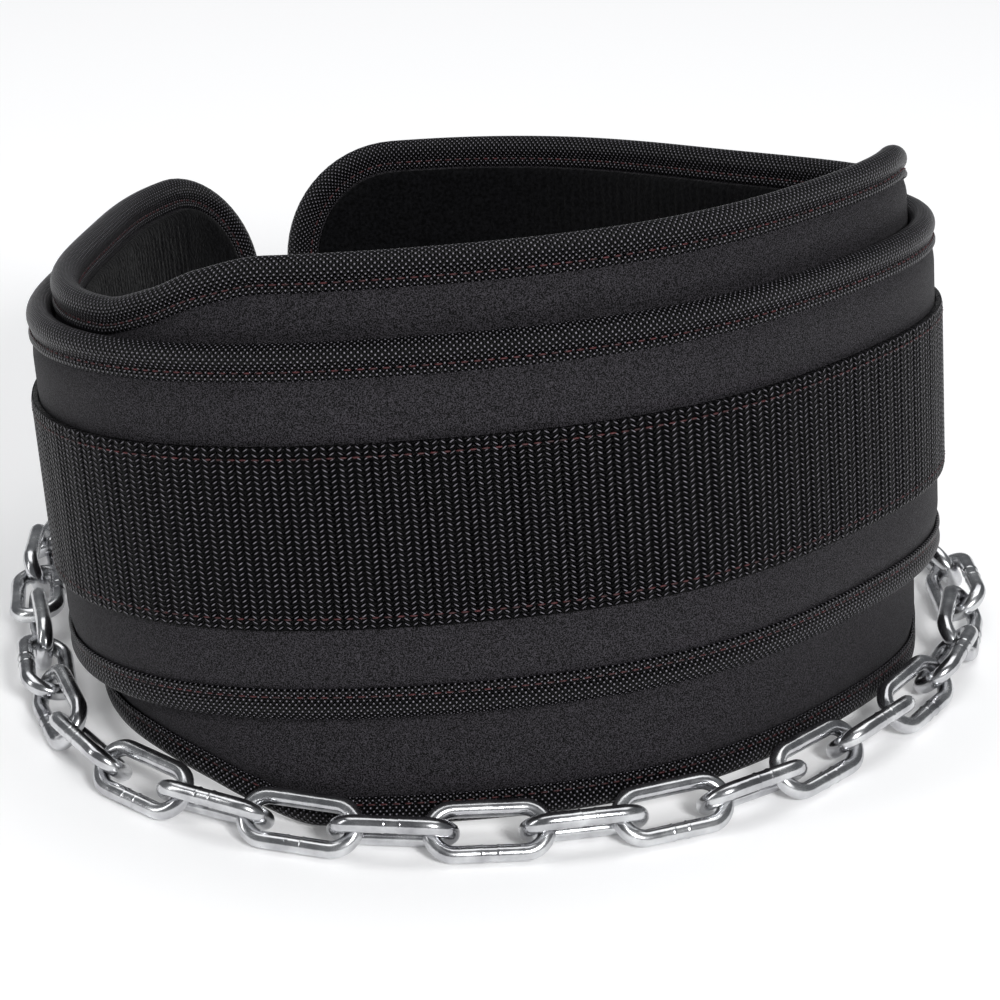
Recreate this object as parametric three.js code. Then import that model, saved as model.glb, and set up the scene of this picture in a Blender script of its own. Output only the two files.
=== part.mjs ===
import * as THREE from "three";

// Padded dip belt standing on its edge as an open loop, wide part in front, with its chain
// lying round the foot. Sizes are millimetres, Z is up, the front faces -Y and +X is right.

// Loop of the pad's middle surface from above: turn in degrees, 0 in front and 90 on the
// right, and the reach from the middle as a share of the mean radius.
const LOOP_RADIUS = 124.7;
const LOOP_SHAPE = [
  { turn: 0, reach: 1.017 },
  { turn: 30, reach: 1.008 },
  { turn: 60, reach: 0.997 },
  { turn: 90, reach: 1.052 },
  { turn: 120, reach: 0.926 },
  { turn: 150, reach: 0.926 },
  { turn: 180, reach: 1.063 },
  { turn: 210, reach: 1.11 },
  { turn: 240, reach: 0.958 },
  { turn: 270, reach: 0.879 },
  { turn: 300, reach: 0.996 },
  { turn: 330, reach: 1.071 },
];
const MIDDLE_TURN = 29.2;
const END_GAP = 12;

// The belt leans toward the gap between its ends, and opens a little toward its top.
const LEAN_DEGREES = 8.8;
const FLARE = 0.02;

// Main pad: part is the share of half its length, top and bottom are shares of half the
// height of its wide middle.
const WIDE_HEIGHT = 161;
const PAD_CONTOUR = [
  { part: 0, top: 1, bottom: -1 },
  { part: 0.28, top: 1, bottom: -1 },
  { part: 0.33, top: 0.955, bottom: -0.925 },
  { part: 0.37, top: 0.885, bottom: -0.855 },
  { part: 0.42, top: 0.833, bottom: -0.8 },
  { part: 0.47, top: 0.83, bottom: -0.775 },
  { part: 0.64, top: 0.84, bottom: -0.7 },
  { part: 0.84, top: 0.845, bottom: -0.588 },
  { part: 1, top: 0.845, bottom: -0.57 },
];
const PAD_THICKNESS = 7.6;
const PAD_CORNER = 40;
const PAD_ROLL = 8;

// Outer band, sewn on outside the pad and of even height.
const BAND_HEIGHT = 104.8;
const BAND_CENTRE = 6.3;
const BAND_THICKNESS = 6.6;
const BAND_CORNER = 28;
const BAND_ROLL = 7.6;
const BAND_SETBACK = 54;

// Binding tape: a thick roll over the edge and a flat tape edge on each face.
const TAPE_DEPTH = 9.5;
const TAPE_WALL = 1;
const ROLL_WALL = 2.1;
const SWELL_RUN = 5.5;
const SEAM_GAP = 0.35;
const LINING_THICKNESS = 1.5;
const LINING_INSET_GAP = 0.5;

// Webbing along the band, turned back round a ring's bar at each end.
const WEBBING_WIDTH = 50.8;
const WEBBING_THICKNESS = 1.8;
const WEBBING_RETURN = 26;
const BAR_AHEAD = 20;

// Plain D-rings: the bar stands upright in the webbing, two arms and a round end.
const RING_WIRE = 5;
const RING_HALF_HEIGHT = 29;
const RING_ARM_LENGTH = 13;
const RING_ROUND_LENGTH = 15;
const RING_CORNER = 4;
const HOLD_DISTANCE = 9.5;

// Plain oval connectors between the rings and the chain.
const CONNECTOR_LENGTH = 38;
const CONNECTOR_WIDTH = 18;
const CONNECTOR_WIRE = 5;

// Welded links. They lie rolled to either side in turn, each on its lower bar. A belt too
// big for the count gets as many more links as it needs.
const LINK_LENGTH = 36.6;
const LINK_WIDTH = 17.6;
const LINK_WIRE = 4.9;
const LINK_GAP = 0.7;
const LINK_ROLL_DEGREES = 45;
const LINK_COUNT = 33;
const CHAIN_CLEAR = 1.2;
const END_BLEND_DEGREES = 32;

// How the chain lies round the belt, by turn: its extra room from the foot as a share of the
// width of a link, its share of the room a loose chain adds, and its twist in quarter turns.
const CHAIN_LIE = [
  { turn: -150, slack: 0.6, give: 0.4, twist: 0 },
  { turn: -128, slack: 0.6, give: 0.4, twist: 0.0 },
  { turn: -110, slack: 0.62, give: 0.4, twist: 0.13 },
  { turn: -93, slack: 0.52, give: 0.3, twist: 0.36 },
  { turn: -80, slack: 0.38, give: 0, twist: 0.55 },
  { turn: -70, slack: 0.25, give: 0, twist: 0.7 },
  { turn: -60, slack: 0.13, give: 0, twist: 0.84 },
  { turn: -45, slack: 0.03, give: 0, twist: 1 },
  { turn: 0, slack: 0, give: 0, twist: 1 },
  { turn: 45, slack: 0, give: 0, twist: 1 },
  { turn: 66, slack: 0.1, give: 0, twist: 1 },
  { turn: 78, slack: 0.25, give: 0, twist: 0.98 },
  { turn: 90, slack: 0.42, give: 0.1, twist: 0.93 },
  { turn: 100, slack: 0.53, give: 0.2, twist: 0.88 },
  { turn: 115, slack: 0.6, give: 0.5, twist: 0.8 },
  { turn: 131, slack: 0.6, give: 0.8, twist: 0.66 },
  { turn: 150, slack: 0.48, give: 1, twist: 0.45 },
  { turn: 175, slack: 0.2, give: 1, twist: 0.17 },
];

// Facets.
const LOOP_STEPS = 720;
const CORNER_TURNS = [18, 36, 54, 72, 90];
const WIDE_STEPS = 5;
const TAPER_STEPS = 5;
const SIDE_STEPS = 6;
const ROLL_TURNS = [90, 135, 180, 225, 270];
const LINK_SIDES = 5;
const RING_SIDES = 6;
const FOOT_STEP_DEGREES = 3;
const FOOT_SPREAD = 2;
const FOOT_RISE = 6;
const FOOT_ROWS = 4;
const FOOT_SAMPLE = 1.5;
const ROUTE_STEP_DEGREES = 0.5;

const rad = THREE.MathUtils.degToRad;
const deg = THREE.MathUtils.radToDeg;
const UP = new THREE.Vector3(0, 0, 1);

// The loop curve and the length along it.
function reachAt(turn) {
  const count = LOOP_SHAPE.length;
  let reach = 0;
  for (const row of LOOP_SHAPE) {
    const away = rad(turn - row.turn);
    const half = Math.tan(away / 2);
    const share = Math.abs(half) < 1e-6 ? 1 : Math.sin((count * away) / 2) / (count * half);
    reach += row.reach * share;
  }
  return LOOP_RADIUS * reach;
}

function loopPoint(turn) {
  const reach = reachAt(turn);
  return new THREE.Vector2(reach * Math.sin(rad(turn)), -reach * Math.cos(rad(turn)));
}

function loopTangent(turn) {
  const step = 180 / LOOP_STEPS;
  return loopPoint(turn + step).sub(loopPoint(turn - step)).normalize();
}

const loopLengths = [0];
for (let i = 1; i <= LOOP_STEPS; i += 1) {
  const last = loopPoint((360 * (i - 1)) / LOOP_STEPS);
  const next = loopPoint((360 * i) / LOOP_STEPS);
  loopLengths.push(loopLengths[i - 1] + last.distanceTo(next));
}
const LOOP_LENGTH = loopLengths[LOOP_STEPS];

function lengthAt(turn) {
  const at = (THREE.MathUtils.euclideanModulo(turn, 360) / 360) * LOOP_STEPS;
  const low = Math.min(Math.floor(at), LOOP_STEPS - 1);
  return THREE.MathUtils.lerp(loopLengths[low], loopLengths[low + 1], at - low);
}

function turnAt(along) {
  const wanted = THREE.MathUtils.euclideanModulo(lengthAt(MIDDLE_TURN) + along, LOOP_LENGTH);
  let low = 0;
  let high = LOOP_STEPS;
  while (high - low > 1) {
    const middle = Math.floor((low + high) / 2);
    if (loopLengths[middle] <= wanted) {
      low = middle;
    } else {
      high = middle;
    }
  }
  const share = (wanted - loopLengths[low]) / (loopLengths[high] - loopLengths[low]);
  return (360 * (low + share)) / LOOP_STEPS;
}

// Every soft piece is laid out as a flat strip: along it, up, and out from the loop.
function place(along, up, out) {
  const turn = turnAt(along);
  const point = loopPoint(turn);
  const tangent = loopTangent(turn);
  const reach = out + FLARE * up;
  return new THREE.Vector3(point.x + tangent.y * reach, point.y - tangent.x * reach, up);
}

// Smooth reading of a table, with no overshoot between its rows.
function readTable(rows, key, column, at) {
  const last = rows.length - 1;
  if (at <= rows[0][key]) {
    return rows[0][column];
  }
  if (at >= rows[last][key]) {
    return rows[last][column];
  }
  let i = 0;
  while (at > rows[i + 1][key]) {
    i += 1;
  }
  const rise = (k) => (rows[k + 1][column] - rows[k][column]) / (rows[k + 1][key] - rows[k][key]);
  const slope = (k) => {
    if (k === 0 || k === last) {
      return 0;
    }
    const before = rise(k - 1);
    const after = rise(k);
    return before * after <= 0 ? 0 : (2 * before * after) / (before + after);
  };
  const run = rows[i + 1][key] - rows[i][key];
  const t = (at - rows[i][key]) / run;
  const low = rows[i][column];
  const high = rows[i + 1][column];
  const ease = t * t * (3 - 2 * t);
  const curved = (slope(i) * (1 - t) - slope(i + 1) * t) * run * t * (1 - t);
  return low + (high - low) * ease + curved;
}

// The two padded strips.
const padHalf = (LOOP_LENGTH - END_GAP) / 2;
const contour = (along, column) =>
  (WIDE_HEIGHT / 2) * readTable(PAD_CONTOUR, "part", column, Math.abs(along) / padHalf);
const PAD = {
  half: padHalf,
  corner: PAD_CORNER,
  out: 0,
  thick: PAD_THICKNESS / 2,
  roll: PAD_ROLL / 2,
  top: (along) => contour(along, "top"),
  bottom: (along) => contour(along, "bottom"),
};
const BAND = {
  half: padHalf - BAND_SETBACK,
  corner: BAND_CORNER,
  out: PAD_ROLL / 2 + BAND_ROLL / 2 + SEAM_GAP,
  thick: BAND_THICKNESS / 2,
  roll: BAND_ROLL / 2,
  top: () => BAND_CENTRE + BAND_HEIGHT / 2,
  bottom: () => BAND_CENTRE - BAND_HEIGHT / 2,
};

// Height of a line set in from a strip's top (side 1) or bottom (side -1) edge.
function edge(strip, side, inset, along) {
  const level = side > 0 ? strip.top(along) : strip.bottom(along);
  const reach = strip.half - inset;
  const radius = strip.corner - inset;
  const past = Math.min(Math.abs(along), reach) - (strip.half - strip.corner);
  const round = past > 0 ? radius - Math.sqrt(Math.max(0, radius * radius - past * past)) : 0;
  const beyond = Math.max(0, Math.abs(along) - reach);
  return level - side * (inset + round + beyond);
}

function depthIn(strip, along, up) {
  const toEnd = strip.half - Math.abs(along);
  const toEdge = Math.min(strip.top(along) - up, up - strip.bottom(along));
  if (toEnd < strip.corner && toEdge < strip.corner) {
    return strip.corner - Math.hypot(strip.corner - toEnd, strip.corner - toEdge);
  }
  return Math.min(toEnd, toEdge);
}

// Places along the strips where they have a section, the same for all of them so their
// facets stay side by side.
function divide(from, to, steps) {
  const places = [];
  for (let i = 1; i <= steps; i += 1) {
    places.push(from + ((to - from) * i) / steps);
  }
  return places;
}

function cornerPlaces(strip, inset) {
  const start = strip.half - strip.corner;
  return CORNER_TURNS.map((turn) => start + (strip.corner - inset) * Math.sin(rad(turn)));
}

const wideEnd = PAD_CONTOUR[1].part * padHalf;
const taperEnd = PAD_CONTOUR[5].part * padHalf;
const bandTurn = BAND.half - BAND.corner;
const padTurn = PAD.half - PAD.corner;
const straightPlaces = [
  ...divide(0, wideEnd, WIDE_STEPS),
  ...divide(wideEnd, taperEnd, TAPER_STEPS),
  ...divide(taperEnd, bandTurn, SIDE_STEPS),
];

function placesFor(strip, inset) {
  const ahead = [...straightPlaces];
  if (strip === PAD) {
    ahead.push(...cornerPlaces(BAND, 0).filter((at) => at < padTurn), padTurn);
  }
  const half = [...ahead, ...cornerPlaces(strip, inset)];
  return [...half.map((at) => -at).reverse(), 0, ...half];
}

// Closed skin over a row of rings. An open row gets a flat cap at each end.
function skin(rings, closed) {
  const count = rings[0].length;
  const positions = rings.flatMap((ring) => ring.flatMap((point) => point.toArray()));
  let faces = [];
  const last = closed ? rings.length : rings.length - 1;
  for (let i = 0; i < last; i += 1) {
    const here = i * count;
    const next = ((i + 1) % rings.length) * count;
    for (let j = 0; j < count; j += 1) {
      const k = (j + 1) % count;
      faces.push([here + j, next + j, next + k], [here + j, next + k, here + k]);
    }
  }
  if (!closed) {
    const end = (rings.length - 1) * count;
    for (let j = 1; j < count - 1; j += 1) {
      faces.push([0, j, j + 1], [end, end + j + 1, end + j]);
    }
  }
  const corner = (index) => new THREE.Vector3().fromArray(positions, 3 * index);
  let volume = 0;
  for (const face of faces) {
    volume += corner(face[0]).dot(corner(face[1]).cross(corner(face[2])));
  }
  if (volume < 0) {
    faces = faces.map((face) => [face[0], face[2], face[1]]);
  }
  const geometry = new THREE.BufferGeometry();
  geometry.setAttribute("position", new THREE.Float32BufferAttribute(positions, 3));
  geometry.setIndex(faces.flat());
  geometry.computeVertexNormals();
  return geometry;
}

// Pad body: thin under its binding, then swelling to full thickness.
function paddedBody(strip) {
  const rows = [
    { inset: ROLL_WALL + 2 * SEAM_GAP, half: strip.roll - ROLL_WALL - SEAM_GAP },
    { inset: TAPE_DEPTH, half: strip.roll - TAPE_WALL - SEAM_GAP },
    { inset: TAPE_DEPTH + SWELL_RUN, half: strip.thick },
  ];
  const point = (along, side, row, face) => {
    const up = edge(strip, side, row.inset, along);
    const half = readTable(rows, "inset", "half", depthIn(strip, along, up));
    return place(along, up, strip.out + face * half);
  };
  const inward = [...rows].reverse();
  const rings = placesFor(strip, rows[0].inset).map((along) => [
    ...rows.map((row) => point(along, 1, row, 1)),
    ...inward.map((row) => point(along, -1, row, 1)),
    ...rows.map((row) => point(along, -1, row, -1)),
    ...inward.map((row) => point(along, 1, row, -1)),
  ]);
  return skin(rings, false);
}

// Binding: one closed loop round a strip's edge, open toward the pad it holds.
function binding(strip) {
  const section = [
    { inset: TAPE_DEPTH, out: strip.roll },
    ...ROLL_TURNS.map((turn) => ({
      inset: strip.roll * (1 + Math.cos(rad(turn))),
      out: strip.roll * Math.sin(rad(turn)),
    })),
    { inset: TAPE_DEPTH, out: -strip.roll },
    { inset: TAPE_DEPTH, out: TAPE_WALL - strip.roll },
    { inset: ROLL_WALL, out: ROLL_WALL - strip.roll },
    { inset: ROLL_WALL, out: strip.roll - ROLL_WALL },
    { inset: TAPE_DEPTH, out: strip.roll - TAPE_WALL },
  ];
  const start = strip.half - strip.corner;
  const run = placesFor(strip, 0).filter((at) => Math.abs(at) <= start + 1e-6);
  const quarter = (end, side) =>
    CORNER_TURNS.map((turn) => ({
      along: end * (start + strip.corner * Math.sin(rad(turn))),
      side,
      inAlong: -end * Math.sin(rad(turn)),
      inUp: -side * Math.cos(rad(turn)),
    }));
  const straight = (side) => run.map((along) => ({ along, side, inAlong: 0, inUp: -side }));
  const path = [
    ...straight(1),
    ...quarter(1, 1),
    ...quarter(1, -1).reverse(),
    ...straight(-1).reverse(),
    ...quarter(-1, -1),
    ...quarter(-1, 1).reverse(),
  ];
  const rings = path.map((at) => {
    const up = edge(strip, at.side, 0, at.along);
    return section.map((point) =>
      place(at.along + at.inAlong * point.inset, up + at.inUp * point.inset, strip.out + point.out),
    );
  });
  return skin(rings, true);
}

function liningSheet() {
  const inset = TAPE_DEPTH + LINING_INSET_GAP;
  const outer = -PAD.thick - SEAM_GAP;
  const inner = outer - LINING_THICKNESS;
  const rings = placesFor(PAD, inset).map((along) => {
    const top = edge(PAD, 1, inset, along);
    const bottom = edge(PAD, -1, inset, along);
    return [
      place(along, top, outer),
      place(along, top, inner),
      place(along, bottom, inner),
      place(along, bottom, outer),
    ];
  });
  return skin(rings, false);
}

// Webbing: a ribbon whose path is given as places along and out from the loop.
const layer = WEBBING_THICKNESS + SEAM_GAP;
const onBand = BAND.out + BAND.thick + SEAM_GAP + WEBBING_THICKNESS / 2;
const overHem = BAND.out + BAND.roll + SEAM_GAP + WEBBING_THICKNESS / 2;
const barAt = BAND.half + BAR_AHEAD;
const barLoop = RING_WIRE / 2 + SEAM_GAP + WEBBING_THICKNESS / 2;

function webbingPath() {
  const flat = BAND.half - TAPE_DEPTH - SWELL_RUN;
  const run = placesFor(BAND, 0).filter((at) => at >= 0 && at < flat - 1);
  const end = [
    { along: flat, out: onBand },
    { along: BAND.half - TAPE_DEPTH, out: overHem },
    { along: BAND.half, out: overHem },
  ];
  for (const turn of [-90, -45, 0, 45, 90]) {
    const along = barAt + barLoop * Math.cos(rad(turn));
    end.push({ along, out: overHem + barLoop * Math.sin(rad(turn)) });
  }
  end.push({ along: BAND.half, out: overHem + layer });
  end.push({ along: BAND.half - TAPE_DEPTH, out: overHem + layer });
  end.push({ along: BAND.half - WEBBING_RETURN, out: onBand + layer });
  const half = [...run.map((along) => ({ along, out: onBand })), ...end];
  const mirrored = half.slice(1).reverse();
  return [...mirrored.map((at) => ({ along: -at.along, out: at.out })), ...half];
}

function ribbon(path, low, high) {
  const direction = (a, b) => new THREE.Vector2(b.along - a.along, b.out - a.out).normalize();
  const rings = path.map((at, i) => {
    const before = i > 0 ? direction(path[i - 1], at) : direction(at, path[i + 1]);
    const after = i < path.length - 1 ? direction(at, path[i + 1]) : before;
    const along = before.clone().add(after).normalize();
    const half = WEBBING_THICKNESS / 2 / along.dot(before);
    const side = new THREE.Vector2(-along.y, along.x).multiplyScalar(half);
    return [
      place(at.along - side.x, low, at.out - side.y),
      place(at.along - side.x, high, at.out - side.y),
      place(at.along + side.x, high, at.out + side.y),
      place(at.along + side.x, low, at.out + side.y),
    ];
  });
  return skin(rings, false);
}

// Closed wire bent in its own plane.
function wireLoop(centreline, radius, sides) {
  const count = centreline.length;
  const rings = centreline.map((point, i) => {
    const before = point.clone().sub(centreline[(i + count - 1) % count]).normalize();
    const after = centreline[(i + 1) % count].clone().sub(point).normalize();
    const along = before.clone().add(after).normalize();
    const ring = [];
    for (let j = 0; j < sides; j += 1) {
      const turn = (2 * Math.PI * j) / sides;
      const across = radius * Math.cos(turn);
      ring.push(
        new THREE.Vector3(
          point.x + along.y * across,
          point.y - along.x * across,
          radius * Math.sin(turn),
        ),
      );
    }
    return ring;
  });
  return skin(rings, true);
}

function ovalLine(length, width, wire) {
  const radius = (width - wire) / 2;
  const straight = (length - width) / 2;
  const points = [];
  for (const turn of [-90, -45, 0, 45, 90, 90, 135, 180, 225, 270]) {
    const end = points.length < 5 ? straight : -straight;
    points.push(
      new THREE.Vector2(end + radius * Math.cos(rad(turn)), radius * Math.sin(rad(turn))),
    );
  }
  return points;
}

function ringLine() {
  const half = [
    new THREE.Vector2(0, RING_HALF_HEIGHT - RING_CORNER),
    new THREE.Vector2(RING_CORNER * 0.3, RING_HALF_HEIGHT - RING_CORNER * 0.3),
    new THREE.Vector2(RING_CORNER, RING_HALF_HEIGHT),
  ];
  for (const turn of [90, 60, 30]) {
    half.push(
      new THREE.Vector2(
        RING_ARM_LENGTH + RING_ROUND_LENGTH * Math.cos(rad(turn)),
        RING_HALF_HEIGHT * Math.sin(rad(turn)),
      ),
    );
  }
  const tip = new THREE.Vector2(RING_ARM_LENGTH + RING_ROUND_LENGTH, 0);
  const lower = half.map((point) => new THREE.Vector2(point.x, -point.y)).reverse();
  return [...half, tip, ...lower].reverse();
}

// Colours of the pieces.
const SHADES = {
  cloth: { color: 0x17181b, roughness: 0.8, metalness: 0 },
  plush: { color: 0x0f1012, roughness: 1, metalness: 0 },
  tape: { color: 0x1c1d20, roughness: 0.85, metalness: 0 },
  web: { color: 0x222428, roughness: 0.9, metalness: 0 },
  steel: { color: 0xb4b7ba, roughness: 0.3, metalness: 1 },
};

function piece(name, geometry, shade) {
  const mesh = new THREE.Mesh(geometry, new THREE.MeshStandardMaterial(SHADES[shade]));
  mesh.name = name;
  return mesh;
}

function turned(mesh, origin, xAxis, yAxis) {
  const zAxis = xAxis.clone().cross(yAxis);
  mesh.quaternion.setFromRotationMatrix(new THREE.Matrix4().makeBasis(xAxis, yAxis, zAxis));
  mesh.position.copy(origin);
  return mesh;
}

// The belt, leaning about a level line through the middle of the loop and set on the floor.
const belt = new THREE.Group();
belt.name = "belt";
belt.add(piece("pad_lining", liningSheet(), "plush"));
belt.add(piece("main_pad", paddedBody(PAD), "cloth"));
belt.add(piece("main_binding", binding(PAD), "tape"));
belt.add(piece("outer_band", paddedBody(BAND), "cloth"));
belt.add(piece("outer_binding", binding(BAND), "tape"));
const webLow = BAND_CENTRE - WEBBING_WIDTH / 2;
belt.add(piece("webbing", ribbon(webbingPath(), webLow, webLow + WEBBING_WIDTH), "web"));

const ringShape = wireLoop(ringLine(), RING_WIRE / 2, RING_SIDES);
const ringFrames = [-1, 1].map((side) => {
  const origin = place(side * barAt, BAND_CENTRE, overHem);
  const upright = place(side * barAt, BAND_CENTRE + 1, overHem).sub(origin).normalize();
  const tangent = loopTangent(turnAt(side * barAt)).multiplyScalar(side);
  const ahead = new THREE.Vector3(tangent.x, tangent.y, 0);
  ahead.addScaledVector(upright, -ahead.dot(upright)).normalize();
  return { side, origin, ahead, upright };
});
for (const frame of ringFrames) {
  const name = frame.side < 0 ? "ring_left" : "ring_right";
  belt.add(turned(piece(name, ringShape.clone(), "steel"), frame.origin, frame.ahead, frame.upright));
}

const gapTurn = turnAt(padHalf + END_GAP / 2);
const leanAxis = new THREE.Vector3(Math.cos(rad(gapTurn)), Math.sin(rad(gapTurn)), 0);
belt.quaternion.setFromAxisAngle(leanAxis, rad(LEAN_DEGREES));
belt.position.z = -new THREE.Box3().setFromObject(belt, true).min.z;
belt.updateMatrixWorld(true);

// Foot of the standing belt as far up as the chain reaches: its reach at each turn.
const linkRadius = (LINK_WIDTH - LINK_WIRE) / 2;
const linkLie = linkRadius * Math.sin(rad(LINK_ROLL_DEGREES)) + LINK_WIRE / 2;
const footCount = 360 / FOOT_STEP_DEGREES;
const footReach = new Array(footCount).fill(0);
for (const strip of [PAD, BAND]) {
  for (let along = -strip.half; along <= strip.half; along += FOOT_SAMPLE) {
    for (let row = 0; row < FOOT_ROWS; row += 1) {
      const up = edge(strip, -1, strip.roll, along) + row * FOOT_RISE;
      const point = belt.localToWorld(place(along, up, strip.out + strip.roll));
      const turn = THREE.MathUtils.euclideanModulo(deg(Math.atan2(point.x, -point.y)), 360);
      const slot = Math.floor(turn / FOOT_STEP_DEGREES) % footCount;
      if (point.z < 2 * linkLie + strip.roll) {
        footReach[slot] = Math.max(footReach[slot], Math.hypot(point.x, point.y));
      }
    }
  }
}

function around(values, slot, combine) {
  const near = [];
  for (let i = -FOOT_SPREAD; i <= FOOT_SPREAD; i += 1) {
    near.push(values[(slot + i + footCount) % footCount]);
  }
  return combine(near);
}
const widest = footReach.map((_, slot) => around(footReach, slot, (near) => Math.max(...near)));
const smoothed = widest.map((_, slot) =>
  around(widest, slot, (near) => near.reduce((sum, value) => sum + value, 0) / near.length),
);

function footAt(turn) {
  const at = THREE.MathUtils.euclideanModulo(turn, 360) / FOOT_STEP_DEGREES - 0.5;
  const low = Math.floor(at);
  const first = smoothed[(low + footCount) % footCount];
  const second = smoothed[(low + 1) % footCount];
  return THREE.MathUtils.lerp(first, second, at - low);
}

// Each connector drops from its ring's lower arm, outward, until a lying link can hold it.
const linkHold = LINK_WIRE / 2 + CONNECTOR_WIRE / 2 + LINK_GAP;
const ringHold = RING_WIRE / 2 + CONNECTOR_WIRE / 2 + LINK_GAP;
const connectorReach = CONNECTOR_LENGTH - CONNECTOR_WIRE - ringHold;
const drops = ringFrames.map((frame) => {
  const hold = frame.origin.clone();
  hold.addScaledVector(frame.ahead, HOLD_DISTANCE);
  hold.addScaledVector(frame.upright, -RING_HALF_HEIGHT);
  belt.localToWorld(hold);
  const outward = frame.ahead.clone().cross(frame.upright).multiplyScalar(frame.side);
  outward.setZ(0).normalize();
  const fall = Math.min(0.98, (hold.z - linkLie) / connectorReach);
  const down = outward.clone().multiplyScalar(Math.sqrt(1 - fall * fall)).setZ(-fall);
  const tip = hold.clone().addScaledVector(down, connectorReach);
  return { side: frame.side, hold, outward, down, tip };
});

const connectorShape = wireLoop(
  ovalLine(CONNECTOR_LENGTH, CONNECTOR_WIDTH, CONNECTOR_WIRE),
  CONNECTOR_WIRE / 2,
  RING_SIDES,
);
const chain = new THREE.Group();
chain.name = "chain";
for (const drop of drops) {
  const name = drop.side < 0 ? "connector_left" : "connector_right";
  const middle = (CONNECTOR_LENGTH - CONNECTOR_WIRE) / 2 - ringHold;
  const centre = drop.hold.clone().addScaledVector(drop.down, middle);
  const level = UP.clone().cross(drop.outward);
  const across = level.clone().cross(drop.down);
  chain.add(turned(piece(name, connectorShape.clone(), "steel"), centre, drop.down, across));
}

// The chain's way round the foot, from one connector to the other.
function polarTurn(point, least) {
  const turn = deg(Math.atan2(point.x, -point.y));
  return least + THREE.MathUtils.euclideanModulo(turn - least, 360);
}
const [startTip, endTip] = drops.map((drop) => drop.tip);
const startTurn = polarTurn(startTip, gapTurn - 360);
const endTurn = polarTurn(endTip, 0);
const tipReach = [startTip, endTip].map((tip) => Math.hypot(tip.x, tip.y));
const tipHeight = [startTip.z, endTip.z];

function rollAt(turn) {
  return rad(LINK_ROLL_DEGREES + 90 * readTable(CHAIN_LIE, "turn", "twist", turn));
}

function routePoint(turn, spare) {
  const slack = readTable(CHAIN_LIE, "turn", "slack", turn) * LINK_WIDTH;
  const give = readTable(CHAIN_LIE, "turn", "give", turn) * spare;
  const free = footAt(turn) + linkLie + CHAIN_CLEAR + slack + give;
  const roll = rollAt(turn);
  const tallest = Math.max(Math.abs(Math.sin(roll)), Math.abs(Math.cos(roll)));
  const lie = linkRadius * tallest + LINK_WIRE / 2;
  const nearStart = Math.max(0, 1 - (turn - startTurn) / END_BLEND_DEGREES) ** 2;
  const nearEnd = Math.max(0, 1 - (endTurn - turn) / END_BLEND_DEGREES) ** 2;
  const away = 1 - nearStart - nearEnd;
  const reach = free * away + tipReach[0] * nearStart + tipReach[1] * nearEnd;
  const height = lie * away + tipHeight[0] * nearStart + tipHeight[1] * nearEnd;
  return new THREE.Vector3(reach * Math.sin(rad(turn)), -reach * Math.cos(rad(turn)), height);
}

const holdBack = linkHold - (LINK_WIRE + LINK_GAP) / 2;
const routeSteps = Math.round((endTurn - startTurn) / ROUTE_STEP_DEGREES);

function chainRoute(spare) {
  const route = [];
  for (let i = 0; i <= routeSteps; i += 1) {
    route.push(routePoint(THREE.MathUtils.lerp(startTurn, endTurn, i / routeSteps), spare));
  }
  const startWay = route[1].clone().sub(route[0]).normalize();
  const endWay = route[routeSteps].clone().sub(route[routeSteps - 1]).normalize();
  route[0].addScaledVector(startWay, -holdBack);
  route[routeSteps].addScaledVector(endWay, holdBack);
  return route;
}

// Joints stepped along a route, one link's pitch apart.
function stepJoints(route, chord, count) {
  const joints = [route[0].clone()];
  let i = 1;
  while (joints.length <= count && i < route.length) {
    const from = joints[joints.length - 1];
    if (route[i].distanceTo(from) < chord) {
      i += 1;
      continue;
    }
    const before = route[i - 1];
    let low = 0;
    let high = 1;
    for (let pass = 0; pass < 30; pass += 1) {
      const middle = (low + high) / 2;
      const reach = before.clone().lerp(route[i], middle).distanceTo(from);
      if (reach < chord) {
        low = middle;
      } else {
        high = middle;
      }
    }
    joints.push(before.clone().lerp(route[i], high));
  }
  return joints;
}

const linkPitch = LINK_LENGTH - 2 * LINK_WIRE - LINK_GAP;
const pitchCount = stepJoints(chainRoute(0), linkPitch, Infinity).length - 1;
const linkCount = Math.max(LINK_COUNT, pitchCount + 1 + (pitchCount % 2));

// The route widens until the whole chain fits into it and meets the second connector.
let tooTight = 0;
let wideEnough = LOOP_RADIUS;
for (let pass = 0; pass < 40; pass += 1) {
  const middle = (tooTight + wideEnough) / 2;
  if (stepJoints(chainRoute(middle), linkPitch, linkCount).length > linkCount) {
    wideEnough = middle;
  } else {
    tooTight = middle;
  }
}
const joints = stepJoints(chainRoute(wideEnough), linkPitch, linkCount);

const linkShape = wireLoop(ovalLine(LINK_LENGTH, LINK_WIDTH, LINK_WIRE), LINK_WIRE / 2, LINK_SIDES);
for (let i = 0; i < linkCount; i += 1) {
  const centre = joints[i].clone().add(joints[i + 1]).multiplyScalar(0.5);
  const way = joints[i + 1].clone().sub(joints[i]).normalize();
  const outward = way.clone().cross(UP).normalize();
  const level = outward.clone().cross(way).normalize();
  const twist = rollAt(polarTurn(centre, gapTurn - 360)) - rad(LINK_ROLL_DEGREES);
  const roll = twist + rad(i % 2 === 0 ? -LINK_ROLL_DEGREES : LINK_ROLL_DEGREES);
  const across = outward.multiplyScalar(Math.cos(roll)).addScaledVector(level, Math.sin(roll));
  const name = `link_${String(i + 1).padStart(2, "0")}`;
  chain.add(turned(piece(name, linkShape.clone(), "steel"), centre, way, across));
}
chain.position.z = -new THREE.Box3().setFromObject(chain, true).min.z;

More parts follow.
